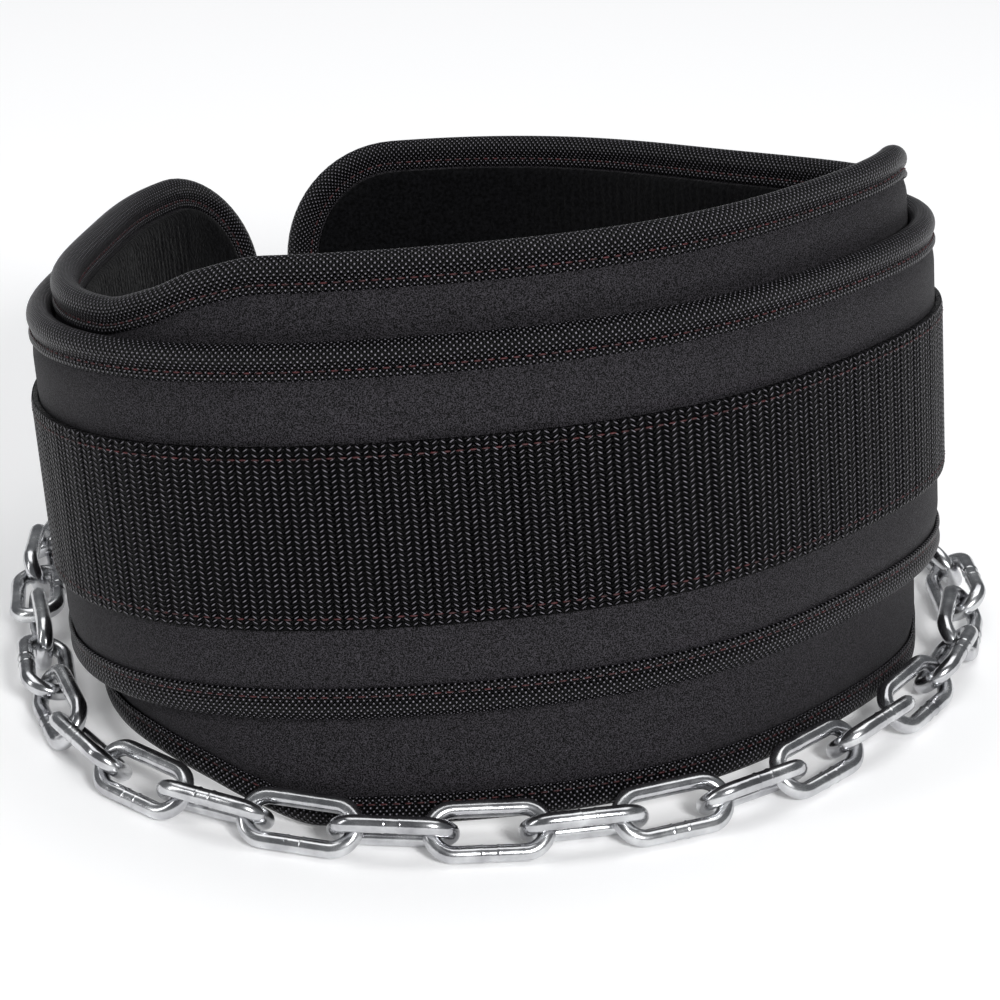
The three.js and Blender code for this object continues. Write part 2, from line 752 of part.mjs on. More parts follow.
// Origin in the middle of the footprint, on the floor.
const group = new THREE.Group();
group.name = "dip_belt";
group.add(belt, chain);
const middle = new THREE.Box3().setFromObject(group, true).getCenter(new THREE.Vector3());
for (const part of [belt, chain]) {
  part.position.x -= middle.x;
  part.position.y -= middle.y;
}
group.updateMatrixWorld(true);

export default group;
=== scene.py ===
import math

import bpy
import numpy as np
from mathutils import Matrix, Vector


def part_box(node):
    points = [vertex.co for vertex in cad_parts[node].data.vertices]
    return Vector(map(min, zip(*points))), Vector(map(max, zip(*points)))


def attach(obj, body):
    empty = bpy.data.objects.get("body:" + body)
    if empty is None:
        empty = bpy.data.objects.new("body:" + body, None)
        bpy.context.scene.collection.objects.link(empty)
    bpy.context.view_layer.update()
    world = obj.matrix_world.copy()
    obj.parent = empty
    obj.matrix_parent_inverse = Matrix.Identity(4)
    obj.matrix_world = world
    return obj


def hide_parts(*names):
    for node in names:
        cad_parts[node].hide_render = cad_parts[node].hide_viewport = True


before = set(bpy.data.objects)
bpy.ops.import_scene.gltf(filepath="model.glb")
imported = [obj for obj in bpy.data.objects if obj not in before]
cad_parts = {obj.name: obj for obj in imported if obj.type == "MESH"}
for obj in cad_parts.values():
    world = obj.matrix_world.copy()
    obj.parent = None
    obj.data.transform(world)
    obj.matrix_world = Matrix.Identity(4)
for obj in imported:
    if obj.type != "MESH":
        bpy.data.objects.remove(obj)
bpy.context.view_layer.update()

# Floor, studio light and camera. The belt stands on pale paper under a wide soft box, with a
# small box in front and a faint strip at the left. The camera looks down on its wide front.
CAMERA_AT = (0.00164, -0.8729, 0.4151)
CAMERA_DOWN = 23.389
CAMERA_FOCAL = 3.0233
SENSOR = 36
FLOOR_COLOUR = (0.95, 0.95, 0.955, 1)
FLOOR_GLOW = 0.14
FLOOR_CORNERS = [(-4, -3, 0), (4, -3, 0), (4, 5, 0), (-4, 5, 0)]
FLOOR_DROP = 0.0004
ROOM_COLOUR = (0.93, 0.96, 1.0, 1)
ROOM_STRENGTH = 0.15
LIGHTS_AIM = Vector((0, 0, 0.06))


def new_material(name, roughness):
    material = bpy.data.materials.new(name)
    material.use_nodes = True
    shader = material.node_tree.nodes["Principled BSDF"]
    shader.inputs["Roughness"].default_value = roughness
    return material, material.node_tree, shader


floor_mesh = bpy.data.meshes.new("floor")
floor_mesh.from_pydata(FLOOR_CORNERS, [], [(0, 1, 2, 3)])
paper, paper_tree, paper_shader = new_material("floor_paper", roughness=0.9)
paper_shader.inputs["Base Color"].default_value = FLOOR_COLOUR
paper_shader.inputs["Emission Color"].default_value = FLOOR_COLOUR
paper_shader.inputs["Emission Strength"].default_value = FLOOR_GLOW
floor_mesh.materials.append(paper)
floor = bpy.data.objects.new("floor", floor_mesh)
bpy.context.collection.objects.link(floor)
floor.location.z = -FLOOR_DROP

world = bpy.data.worlds.new("studio")
world.use_nodes = True
world.node_tree.nodes["Background"].inputs["Color"].default_value = ROOM_COLOUR
world.node_tree.nodes["Background"].inputs["Strength"].default_value = ROOM_STRENGTH
bpy.context.scene.world = world
bpy.context.scene.view_settings.view_transform = "Standard"


def soft_box(name, at, size, power):
    light = bpy.data.lights.new(name, "AREA")
    light.shape = "RECTANGLE"
    light.size, light.size_y = size
    light.energy = power
    lamp = bpy.data.objects.new(name, light)
    bpy.context.collection.objects.link(lamp)
    lamp.location = at
    aim = LIGHTS_AIM - lamp.location
    lamp.rotation_euler = aim.to_track_quat("-Z", "Y").to_euler()


soft_box("top_box", at=(0.0, 0.6, 1.9), size=(2.6, 2.2), power=32)
soft_box("key_box", at=(0.55, -1.5, 0.9), size=(0.35, 0.35), power=24)
soft_box("side_box", at=(-1.3, -0.5, 0.7), size=(0.2, 0.9), power=3)

camera = bpy.data.objects.new("camera", bpy.data.cameras.new("camera"))
bpy.context.collection.objects.link(camera)
camera.location = CAMERA_AT
camera.rotation_euler = (math.radians(90 - CAMERA_DOWN), 0, 0)
camera.data.sensor_width = SENSOR
camera.data.lens = CAMERA_FOCAL * SENSOR
bpy.context.scene.camera = camera

# Main pad: a contoured sheet of firm foam in smooth knit cloth, bent into the loop the belt
# stands in. It is thin where the binding grips it, and swells to full thickness inside that.
LOOP_RADIUS = 0.1247
LOOP_REACH = (1.017, 1.008, 0.997, 1.052, 0.926, 0.926, 1.063, 1.11, 0.958, 0.879, 0.996, 1.071)
MIDDLE_TURN = 29.2
END_GAP = 0.012
LEAN = math.radians(8.8)
FLARE = 0.02
HALF_WIDE_HEIGHT = 0.0805
CONTOUR_PART = (0, 0.28, 0.33, 0.37, 0.42, 0.47, 0.64, 0.84, 1)
CONTOUR_TOP = (1, 1, 0.955, 0.885, 0.833, 0.83, 0.84, 0.845, 0.845)
CONTOUR_BOTTOM = (-1, -1, -0.925, -0.855, -0.8, -0.775, -0.7, -0.588, -0.57)
PAD_CORNER = 0.04
PAD_ROLL = 0.004
PAD_HALF_THICKNESS = 0.0038
TAPE_DEPTH = 0.0095
TAPE_WALL = 0.001
ROLL_WALL = 0.0021
SEAM_GAP = 0.00035
SWELL_RUN = 0.0055
SWELL_SHOULDER = 0.6
SHOULDER_THICKNESS = 0.94
SKIN_INSETS = (0.0045, 0.007, TAPE_DEPTH, 0.0108, 0.0122, 0.0136)
PAD_ROWS = 26
PAD_STEP = 0.002
RIM_WIDTH = 0.003
CORNER_STEPS = 16
TABLE_TURNS = 4001
TANGENT_TURN = 0.2


def loop_point(turn):
    turn = np.asarray(turn, float)
    reach = np.zeros_like(turn)
    for row, share in enumerate(LOOP_REACH):
        away = np.radians(turn - 30 * row)
        half = np.tan(away / 2)
        close = np.abs(half) < 1e-6
        safe = np.where(close, 1, half)
        reach += share * np.where(close, 1, np.sin(6 * away) / (12 * safe))
    reach *= LOOP_RADIUS
    return np.stack([reach * np.sin(np.radians(turn)), -reach * np.cos(np.radians(turn))], -1)


loop_turns = MIDDLE_TURN + np.linspace(-200, 200, TABLE_TURNS)
loop_steps = np.linalg.norm(np.diff(loop_point(loop_turns), axis=0), axis=1)
loop_along = np.concatenate([[0], np.cumsum(loop_steps)])
loop_along -= np.interp(MIDDLE_TURN, loop_turns, loop_along)
full_turn = [MIDDLE_TURN - 180, MIDDLE_TURN + 180]
loop_length = float(np.diff(np.interp(full_turn, loop_turns, loop_along))[0])
pad_half = (loop_length - END_GAP) / 2
gap_turn = math.radians(float(np.interp(pad_half + END_GAP / 2, loop_along, loop_turns)))
lean_axis = Vector((math.cos(gap_turn), math.sin(gap_turn), 0))
lean_turn = np.array(Matrix.Rotation(LEAN, 3, lean_axis))
belt_seat = np.zeros(3)


def place(along, up, out):
    """Points at places along the strip, up, and out from the loop's middle surface."""
    along, up, out = np.broadcast_arrays(along, up, out)
    turn = np.interp(along, loop_along, loop_turns)
    tangent = loop_point(turn + TANGENT_TURN) - loop_point(turn - TANGENT_TURN)
    tangent /= np.linalg.norm(tangent, axis=-1, keepdims=True)
    normal = np.stack([tangent[..., 1], -tangent[..., 0]], -1)
    flat = loop_point(turn) + normal * (out + FLARE * up)[..., None]
    points = np.concatenate([flat, np.asarray(up, float)[..., None]], -1)
    return points @ lean_turn.T + belt_seat


def smooth_table(xs, ys, at):
    """The table read with even slopes and no overshoot."""
    xs, ys = np.asarray(xs, float), np.asarray(ys, float)
    rise = np.diff(ys) / np.diff(xs)
    slope = np.zeros_like(ys)
    before, after = rise[:-1], rise[1:]
    total = np.where(before + after == 0, 1, before + after)
    slope[1:-1] = np.where(before * after > 0, 2 * before * after / total, 0)
    at = np.clip(at, xs[0], xs[-1])
    i = np.clip(np.searchsorted(xs, at, side="right") - 1, 0, len(xs) - 2)
    run = xs[i + 1] - xs[i]
    t = (at - xs[i]) / run
    curved = (slope[i] * (1 - t) - slope[i + 1] * t) * run * t * (1 - t)
    return ys[i] + (ys[i + 1] - ys[i]) * t * t * (3 - 2 * t) + curved


def pad_level(side, along):
    shares = CONTOUR_TOP if side > 0 else CONTOUR_BOTTOM
    return HALF_WIDE_HEIGHT * smooth_table(CONTOUR_PART, shares, np.abs(along) / pad_half)


PAD = {
    "half": pad_half,
    "corner": PAD_CORNER,
    "out": 0.0,
    "thick": PAD_HALF_THICKNESS,
    "roll": PAD_ROLL,
    "level": pad_level,
}


def edge(strip, side, inset, along):
    """Height of a line set in from the strip's top (side 1) or bottom (side -1)."""
    reach = strip["half"] - inset
    radius = strip["corner"] - inset
    past = np.minimum(np.abs(along), reach) - (strip["half"] - strip["corner"])
    past = np.clip(past, 0, radius)
    drop = radius - np.sqrt(np.maximum(0, radius**2 - past**2))
    beyond = np.maximum(0, np.abs(along) - reach)
    return strip["level"](side, along) - side * (inset + drop + beyond)


def depth_in(strip, along, up):
    """How far a place on the strip is from the strip's nearest edge."""
    to_end = strip["half"] - np.abs(along)
    level = strip["level"]
    to_edge = np.minimum(level(1, along) - up, up - level(-1, along))
    corner = strip["corner"]
    in_corner = (to_end < corner) & (to_edge < corner)
    rounded = corner - np.hypot(corner - to_end, corner - to_edge)
    return np.where(in_corner, rounded, np.minimum(to_end, to_edge))


def strip_places(strip, inset, step):
    """Places along the strip from end to end, closer together round its corners."""
    start = strip["half"] - strip["corner"]
    run = np.linspace(0, start, round(start / step) + 1)
    bends = np.sin(np.radians(np.linspace(0, 90, CORNER_STEPS)[1:]))
    half = np.concatenate([run, start + (strip["corner"] - inset) * bends])
    return np.concatenate([-half[:0:-1], half])


def strip_mesh(name, points, along, around, closed):
    """A closed skin over rings of points, with a UV map laid out in metres."""
    count, ring = points.shape[:2]
    rows = count if closed else count - 1
    i, j = np.meshgrid(np.arange(rows), np.arange(ring), indexing="ij")
    after, beside = (i + 1) % count, (j + 1) % ring
    quads = np.stack([i * ring + j, after * ring + j, after * ring + beside, i * ring + beside], -1)
    quads = quads.reshape(-1, 4)
    u = np.stack([along[i], along[i + 1], along[i + 1], along[i]], -1).reshape(-1, 4)
    v = np.stack([around[j], around[j], around[j + 1], around[j + 1]], -1).reshape(-1, 4)
    flat = points.reshape(-1, 3)
    a, b, c, d = (flat[quads[:, k]] for k in range(4))
    volume = np.einsum("ij,ij->i", a - flat[0], np.cross(b - flat[0], c - flat[0])).sum()
    volume += np.einsum("ij,ij->i", a - flat[0], np.cross(c - flat[0], d - flat[0])).sum()
    first, last = list(range(ring)), list(range((count - 1) * ring, count * ring))
    caps = [] if closed else [first, last[::-1]]
    if volume < 0:
        quads, u, v = quads[:, ::-1], u[:, ::-1], v[:, ::-1]
        caps = [cap[::-1] for cap in caps]
    mesh = bpy.data.meshes.new(name)
    mesh.from_pydata(flat.tolist(), [], quads.tolist() + caps)
    layer = mesh.uv_layers.new(name="laid_flat")
    corners = np.stack([u, v], -1).reshape(-1, 2)
    for cap, end in zip(caps, (0, rows)):
        corners = np.concatenate([corners, [[along[end], around[k % ring]] for k in cap]])
    layer.data.foreach_set("uv", corners.ravel())
    mesh.shade_smooth()
    piece = bpy.data.objects.new(name, mesh)
    bpy.context.collection.objects.link(piece)
    return piece


def lengths_along(points):
    steps = np.linalg.norm(np.diff(points, axis=0), axis=-1)
    return np.concatenate([[0], np.cumsum(steps)])


def padded_points(strip, step):
    """Rings of points round a pad that is thin in its binding and full inside it."""
    rim = ROLL_WALL + 2 * SEAM_GAP
    crown = TAPE_DEPTH + SWELL_RUN
    halves = (
        strip["roll"] - ROLL_WALL - SEAM_GAP,
        strip["roll"] - TAPE_WALL - SEAM_GAP,
        strip["thick"] * SHOULDER_THICKNESS,
        strip["thick"],
    )
    depths = (rim, TAPE_DEPTH, TAPE_DEPTH + SWELL_SHOULDER * SWELL_RUN, crown)
    along = strip_places(strip, rim, step)[:, None]
    insets = np.array([rim, *SKIN_INSETS, crown])
    top = edge(strip, 1, insets, along)
    bottom = edge(strip, -1, insets, along)
    share = np.linspace(0, 1, PAD_ROWS)[1:-1]
    middle = top[:, -1:] * (1 - share) + bottom[:, -1:] * share
    up = np.concatenate([top, middle, bottom[:, ::-1]], 1)
    half = np.interp(depth_in(strip, along, up), depths, halves)
    face = place(along, up, strip["out"] + half)
    back = place(along, up, strip["out"] - half)[:, ::-1]
    middle_ring = up[len(up) // 2]
    levels = np.concatenate([middle_ring, middle_ring[::-1]])
    around = np.concatenate([[0], np.cumsum(np.abs(np.diff(levels)))])
    around = np.append(around, around[-1] + RIM_WIDTH)
    return np.concatenate([face, back], 1), along[:, 0], around


pad_points, pad_along, pad_around = padded_points(PAD, PAD_STEP)
cad_low, cad_high = (np.array(corner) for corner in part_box("main_pad"))
pad_cloud = pad_points.reshape(-1, 3)
belt_seat = (cad_low + cad_high) / 2 - (pad_cloud.min(0) + pad_cloud.max(0)) / 2
main_pad = strip_mesh("main_pad_cloth", pad_points + belt_seat, pad_along, pad_around, False)


def shader_group(name, inputs, outputs):
    """An empty shader node group with its named sockets, and its two ends."""
    group = bpy.data.node_groups.new(name, "ShaderNodeTree")
    for label, kind, value in inputs:
        socket = group.interface.new_socket(label, in_out="INPUT", socket_type=kind)
        if value is not None:
            socket.default_value = value
    for label, kind in outputs:
        group.interface.new_socket(label, in_out="OUTPUT", socket_type=kind)
    return group, group.nodes.new("NodeGroupInput"), group.nodes.new("NodeGroupOutput")


def math_node(tree, operation, first, second=None, third=None):
    node = tree.nodes.new("ShaderNodeMath")
    node.operation = operation
    for socket, value in zip(node.inputs, (first, second, third)):
        if value is None:
            continue
        if isinstance(value, (int, float)):
            socket.default_value = value
        else:
            tree.links.new(value, socket)
    return node.outputs[0]


# Fine grain, for the cloth, plush, thread and steel. Height is a close uneven speckle, of the
# size of knit loops, and Wear a slow cloudy one. Both read the piece's own coordinates.
GRAIN, grain_in, grain_out = shader_group(
    "knit_grain",
    [("Loops per Metre", "NodeSocketFloat", 1500.0), ("Wear Scale", "NodeSocketFloat", 30.0)],
    [("Height", "NodeSocketFloat"), ("Wear", "NodeSocketFloat")],
)
grain_where = GRAIN.nodes.new("ShaderNodeTexCoord")
grain_loops = GRAIN.nodes.new("ShaderNodeTexNoise")
grain_loops.inputs["Detail"].default_value = 2
GRAIN.links.new(grain_where.outputs["Object"], grain_loops.inputs["Vector"])
GRAIN.links.new(grain_in.outputs["Loops per Metre"], grain_loops.inputs["Scale"])
grain_wear = GRAIN.nodes.new("ShaderNodeTexNoise")
grain_wear.inputs["Detail"].default_value = 4
GRAIN.links.new(grain_where.outputs["Object"], grain_wear.inputs["Vector"])
GRAIN.links.new(grain_in.outputs["Wear Scale"], grain_wear.inputs["Scale"])
GRAIN.links.new(grain_loops.outputs["Fac"], grain_out.inputs["Height"])
GRAIN.links.new(grain_wear.outputs["Fac"], grain_out.inputs["Wear"])


def add_group(tree, group, **values):
    node = tree.nodes.new("ShaderNodeGroup")
    node.node_tree = group
    for label, value in values.items():
        node.inputs[label.replace("_", " ")].default_value = value
    return node


def ramp(tree, factor, low, high, dark, light):
    """A colour ramp from dark at low to light at high."""
    node = tree.nodes.new("ShaderNodeValToRGB")
    node.color_ramp.elements[0].position = low
    node.color_ramp.elements[1].position = high
    node.color_ramp.elements[0].color = (*dark, 1)
    node.color_ramp.elements[1].color = (*light, 1)
    tree.links.new(factor, node.inputs["Fac"])
    return node.outputs["Color"]


def bump(tree, shader, height, distance, strength):
    node = tree.nodes.new("ShaderNodeBump")
    node.inputs["Distance"].default_value = distance
    node.inputs["Strength"].default_value = strength
    tree.links.new(height, node.inputs["Height"])
    tree.links.new(node.outputs["Normal"], shader.inputs["Normal"])


CLOTH_DARK = (0.0008, 0.0008, 0.001)
CLOTH_LIGHT = (0.04, 0.037, 0.043)
cloth, cloth_tree, cloth_shader = new_material("smooth_knit_cloth", roughness=0.62)
cloth_grain = add_group(cloth_tree, GRAIN, Loops_per_Metre=2800.0, Wear_Scale=24.0)
cloth_height = cloth_grain.outputs["Height"]
cloth_colour = ramp(cloth_tree, cloth_height, low=0.42, high=0.62, dark=CLOTH_DARK, light=CLOTH_LIGHT)
cloth_tree.links.new(cloth_colour, cloth_shader.inputs["Base Color"])
cloth_shader.inputs["Sheen Weight"].default_value = 0.03
cloth_shader.inputs["Specular IOR Level"].default_value = 0.09
bump(cloth_tree, cloth_shader, cloth_height, distance=0.0004, strength=0.8)


def settle(piece, material, slot, *nodes):
    """Gives a finished piece its material and body, and hides the nodes it stands for. The slot is not
    used.
    """
    if material:
        piece.data.materials.clear()
        piece.data.materials.append(material)
    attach(piece, "root")
    if nodes:
        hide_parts(*nodes)


settle(main_pad, cloth, "cloth", "main_pad")

# Plush lining: a ribbed pile fabric sewn to the inner face of the pad, inside the binding.
# Its upright ribs are shallow rolls of pile, a little uneven from rib to rib.
LINING_THICKNESS = 0.0015
LINING_INSET = TAPE_DEPTH + 0.0005
RIB_PITCH = 0.0033
RIB_HEIGHT = 0.0005
LINING_ROWS = 30
LINING_RIM = 0.0025
LINING_RIM_START = 0.03
LINING_ROW_WIDTH = 0.005
LINING_BACK_STEP = 7
PILE_UNEVEN = 0.35
PILE_FADE = 0.25
PILE_TALLEST = 1.3
PLUSH_DARK = (0.0008, 0.0008, 0.001)
PLUSH_LIGHT = (0.006, 0.006, 0.007)
pile = np.random.default_rng(7)

lining_along = strip_places(PAD, LINING_INSET, RIB_PITCH / 4)
lining_share = (1 - np.cos(np.pi * np.linspace(0, 1, LINING_ROWS))) / 2
lining_top = edge(PAD, 1, LINING_INSET, lining_along)[:, None]
lining_bottom = edge(PAD, -1, LINING_INSET, lining_along)[:, None]
lining_up = lining_top * (1 - lining_share) + lining_bottom * lining_share
lining_rib = np.cos(2 * np.pi * lining_along / RIB_PITCH)[:, None]
lining_pile = 0.5 + 0.5 * lining_rib + PILE_UNEVEN * pile.standard_normal(lining_up.shape)
lining_fade = np.sin(np.pi * lining_share) ** PILE_FADE
lining_rise = RIB_HEIGHT * np.clip(lining_pile, 0, PILE_TALLEST) * lining_fade
lining_depth = depth_in(PAD, lining_along[:, None], lining_up) - LINING_INSET
lining_from_rim = np.clip(lining_depth / LINING_RIM, LINING_RIM_START, 1)
lining_round = np.sqrt(1 - (1 - lining_from_rim) ** 2)
lining_back = -PAD_HALF_THICKNESS - SEAM_GAP
lining_out = lining_back - (LINING_THICKNESS + lining_rise) * lining_round
lining_face = place(lining_along[:, None], lining_up, lining_out)
lining_hidden = place(lining_along[:, None], lining_up[:, ::-LINING_BACK_STEP], lining_back)
lining_points = np.concatenate([lining_face, lining_hidden], 1)
lining_around = LINING_ROW_WIDTH * np.arange(lining_points.shape[1] + 1)
pad_lining = strip_mesh("plush_lining", lining_points, lining_along, lining_around, False)

plush, plush_tree, plush_shader = new_material("ribbed_plush", roughness=0.95)
plush_grain = add_group(plush_tree, GRAIN, Loops_per_Metre=900.0, Wear_Scale=60.0)
plush_height = plush_grain.outputs["Height"]
plush_colour = ramp(plush_tree, plush_height, low=0.35, high=0.8, dark=PLUSH_DARK, light=PLUSH_LIGHT)
plush_tree.links.new(plush_colour, plush_shader.inputs["Base Color"])
plush_shader.inputs["Sheen Weight"].default_value = 0.04
plush_shader.inputs["Specular IOR Level"].default_value = 0.05
bump(plush_tree, plush_shader, plush_height, distance=0.0006, strength=0.8)
settle(pad_lining, plush, "plush", "pad_lining")

# Outer band: the same foam and cloth, of even height, sewn round the outside of the pad.
# It carries the webbing, and its face bulges softly between the two bindings.
BAND_ROLL = 0.0038
BAND_CENTRE = 0.0063
BAND_HALF_HEIGHT = 0.0524
BAND_SHORT_OF_PAD = 0.054
BAND_CORNER = 0.028
BAND_HALF_THICKNESS = 0.0033
BAND = {
    "half": pad_half - BAND_SHORT_OF_PAD,
    "corner": BAND_CORNER,
    "out": PAD_ROLL + BAND_ROLL + SEAM_GAP,
    "thick": BAND_HALF_THICKNESS,
    "roll": BAND_ROLL,
    "level": lambda side, along: BAND_CENTRE + side * BAND_HALF_HEIGHT + 0 * along,
}
outer_band = strip_mesh("outer_band_cloth", *padded_points(BAND, PAD_STEP), False)
settle(outer_band, cloth, "cloth", "outer_band")

# Bindings: a wide woven tape rolled over the edge of the pad and of the band, stuffed to a
# thick round edge and stitched down on both faces, so it leaves a groove and a flat tape edge.
GROOVE_AT = 0.0072
GROOVE_OUT = 0.8
TAPE_EDGE = ((0.0077, 0.93), (0.0084, 1.0), (0.0091, 0.99), (TAPE_DEPTH, 0.9))
ROLL_TURNS = np.radians(np.linspace(52, 308, 23))
BINDING_STEP = 0.0025
BINDING_BENDS = np.radians(np.linspace(0, 90, 17)[1:])


def binding_path(strip, step):
    """Places round the strip's edge, with the direction that leads in from each."""
    start = strip["half"] - strip["corner"]
    run = strip_places(strip, 0, step)
    run = run[np.abs(run) <= start + 1e-9]
    ends = []
    for end, side in ((1, 1), (1, -1), (-1, -1), (-1, 1)):
        along = end * (start + strip["corner"] * np.sin(BINDING_BENDS))
        quarter = np.stack(
            [
                along,
                np.full(len(BINDING_BENDS), side),
                -end * np.sin(BINDING_BENDS),
                -side * np.cos(BINDING_BENDS),
            ],
            -1,
        )
        ends.append(quarter if (end > 0) == (side > 0) else quarter[::-1])
    top = np.stack([run, run * 0 + 1, run * 0, run * 0 - 1], -1)
    low = np.stack([run[::-1], run * 0 - 1, run * 0, run * 0 + 1], -1)
    path = np.concatenate([top, ends[0], ends[1], low, ends[2], ends[3]])
    sides = path[:, 1]
    up = np.where(sides > 0, edge(strip, 1, 0, path[:, 0]), edge(strip, -1, 0, path[:, 0]))
    return path, up


def binding_points(strip, step):
    """The tape's closed section carried round the strip's edge."""
    roll = strip["roll"]
    face = [(inset, roll * out) for inset, out in TAPE_EDGE[::-1]]
    face.append((GROOVE_AT, GROOVE_OUT * roll))
    arc = [(roll * (1 + math.cos(turn)), roll * math.sin(turn)) for turn in ROLL_TURNS]
    inside = [(TAPE_DEPTH, TAPE_WALL - roll), (ROLL_WALL, ROLL_WALL - roll)]
    section = face + arc + [(inset, -out) for inset, out in face[::-1]]
    section += inside + [(inset, -out) for inset, out in inside[::-1]]
    section = np.array(section)
    path, up = binding_path(strip, step)
    along = path[:, :1] + path[:, 2:3] * section[:, 0]
    height = up[:, None] + path[:, 3:4] * section[:, 0]
    points = place(along, height, strip["out"] + section[:, 1])
    edge_line = place(path[:, 0], up, strip["out"])
    length = lengths_along(np.concatenate([edge_line, edge_line[:1]]))
    around = lengths_along(np.concatenate([section, section[:1]]))
    return points, length, around


main_binding = strip_mesh("main_binding_tape", *binding_points(PAD, BINDING_STEP), True)
outer_binding = strip_mesh("outer_binding_tape", *binding_points(BAND, BINDING_STEP), True)

# Basket weave for tape and webbing: raised yarns in offset rows, read from the UV map in
# metres. Slant leans the yarns one way and the other in turn, which makes chevrons.
WEAVE, weave_in, weave_out = shader_group(
    "yarn_weave",
    [
        ("Column", "NodeSocketFloat", 0.0014),
        ("Row", "NodeSocketFloat", 0.0014),
        ("Slant", "NodeSocketFloat", 0.0),
        ("Unevenness", "NodeSocketFloat", 0.3),
    ],
    [("Height", "NodeSocketFloat")],
)
weave_uv = WEAVE.nodes.new("ShaderNodeUVMap")
weave_uv.uv_map = "laid_flat"
weave_split = WEAVE.nodes.new("ShaderNodeSeparateXYZ")
WEAVE.links.new(weave_uv.outputs["UV"], weave_split.inputs["Vector"])
weave_u, weave_v = weave_split.outputs["X"], weave_split.outputs["Y"]
weave_column = math_node(WEAVE, "DIVIDE", weave_u, weave_in.outputs["Column"])
weave_fold = math_node(WEAVE, "PINGPONG", weave_column, 1.0)
weave_lean = math_node(WEAVE, "MULTIPLY", weave_fold, weave_in.outputs["Slant"])
weave_row = math_node(WEAVE, "DIVIDE", weave_v, weave_in.outputs["Row"])
weave_phase = math_node(WEAVE, "ADD", weave_row, weave_lean)
weave_across = math_node(WEAVE, "COSINE", math_node(WEAVE, "MULTIPLY", weave_column, math.tau))
weave_along = math_node(WEAVE, "COSINE", math_node(WEAVE, "MULTIPLY", weave_phase, math.tau))
weave_basket = math_node(WEAVE, "MULTIPLY", weave_across, weave_along)
weave_basket = math_node(WEAVE, "MULTIPLY_ADD", weave_basket, 0.5, 0.5)
weave_bar = math_node(WEAVE, "SINE", math_node(WEAVE, "MULTIPLY", weave_column, math.pi))
weave_bar = math_node(WEAVE, "SQRT", math_node(WEAVE, "ABSOLUTE", weave_bar))
weave_yarn = math_node(WEAVE, "MULTIPLY_ADD", weave_along, 0.5, 0.5)
weave_chevron = math_node(WEAVE, "MULTIPLY", weave_bar, weave_yarn)
weave_plain = math_node(WEAVE, "LESS_THAN", weave_in.outputs["Slant"], 0.01)
weave_chosen = WEAVE.nodes.new("ShaderNodeMix")
WEAVE.links.new(weave_plain, weave_chosen.inputs["Factor"])
WEAVE.links.new(weave_chevron, weave_chosen.inputs["A"])
WEAVE.links.new(weave_basket, weave_chosen.inputs["B"])
weave_noise = WEAVE.nodes.new("ShaderNodeTexNoise")
weave_noise.inputs["Scale"].default_value = 900
WEAVE.links.new(weave_uv.outputs["UV"], weave_noise.inputs["Vector"])
weave_rough = math_node(
    WEAVE, "MULTIPLY", weave_noise.outputs["Fac"], weave_in.outputs["Unevenness"]
)
weave_height = math_node(WEAVE, "SUBTRACT", weave_chosen.outputs["Result"], weave_rough)
WEAVE.links.new(weave_height, weave_out.inputs["Height"])

# The yarns are black. Their colour follows the weave's height: the yarn tops are painted light grey as
# glints, and the gaps between them are painted down to a deeper black as shade.
YARN_BLACK_AND_GAP_SHADE = (0.0002, 0.0002, 0.0004)
TAPE_PAINTED_GLINT = (0.3, 0.285, 0.325)
tape, tape_tree, tape_shader = new_material("woven_tape", roughness=0.32)
tape_weave = add_group(tape_tree, WEAVE, Column=0.00175, Row=0.0019, Slant=0.0, Unevenness=0.3)
tape_height = tape_weave.outputs["Height"]
tape_colour_and_painted_glint = ramp(tape_tree, tape_height, low=0.6, high=0.95, dark=YARN_BLACK_AND_GAP_SHADE, light=TAPE_PAINTED_GLINT)
tape_tree.links.new(tape_colour_and_painted_glint, tape_shader.inputs["Base Color"])
tape_shader.inputs["Specular IOR Level"].default_value = 0.12
bump(tape_tree, tape_shader, tape_height, distance=0.0007, strength=1.0)
settle(main_binding, tape, "tape", "main_binding")
settle(outer_binding, tape, "tape", "outer_binding")

# Webbing: a stiff strap two inches wide, woven in upright herringbone columns that stand
# proud of each other. It is sewn along the band and turned back round a ring at each end.
WEB_HALF_WIDTH = 0.0254
WEB_THICKNESS = 0.0018
WEB_COLUMN = 0.0021
WEB_RELIEF = 0.0004
WEB_ROWS = 40
WEB_STEP = 0.00055
BAR_AHEAD = 0.02
RING_WIRE = 0.005
WEB_RETURN = 0.026
SELVEDGE = 0.0012
SELVEDGE_RELIEF = 0.2
WEB_BACK_STEP = 13
WEB_BACK_UV = 1.0
WEB_UV_END = 1.06

web_layer = WEB_THICKNESS + SEAM_GAP
web_on_band = BAND["out"] + BAND["thick"] + SEAM_GAP + WEB_THICKNESS / 2
web_over_hem = BAND["out"] + BAND_ROLL + SEAM_GAP + WEB_THICKNESS / 2
web_bar = BAND["half"] + BAR_AHEAD
web_loop = RING_WIRE / 2 + SEAM_GAP + WEB_THICKNESS / 2
web_flat = BAND["half"] - TAPE_DEPTH - SWELL_RUN
web_end = [(web_flat, web_on_band), (BAND["half"] - TAPE_DEPTH, web_over_hem)]
web_end.append((BAND["half"], web_over_hem))
for web_turn in np.radians(np.linspace(-90, 90, 9)):
    web_end.append(
        (web_bar + web_loop * math.cos(web_turn), web_over_hem + web_loop * math.sin(web_turn))
    )
web_end.append((BAND["half"], web_over_hem + web_layer))
web_end.append((BAND["half"] - TAPE_DEPTH, web_over_hem + web_layer))
web_end.append((BAND["half"] - WEB_RETURN, web_on_band + web_layer))
web_end = np.array(web_end)
web_corners = np.concatenate([web_end[::-1] * (-1, 1), web_end])
web_length = lengths_along(web_corners)
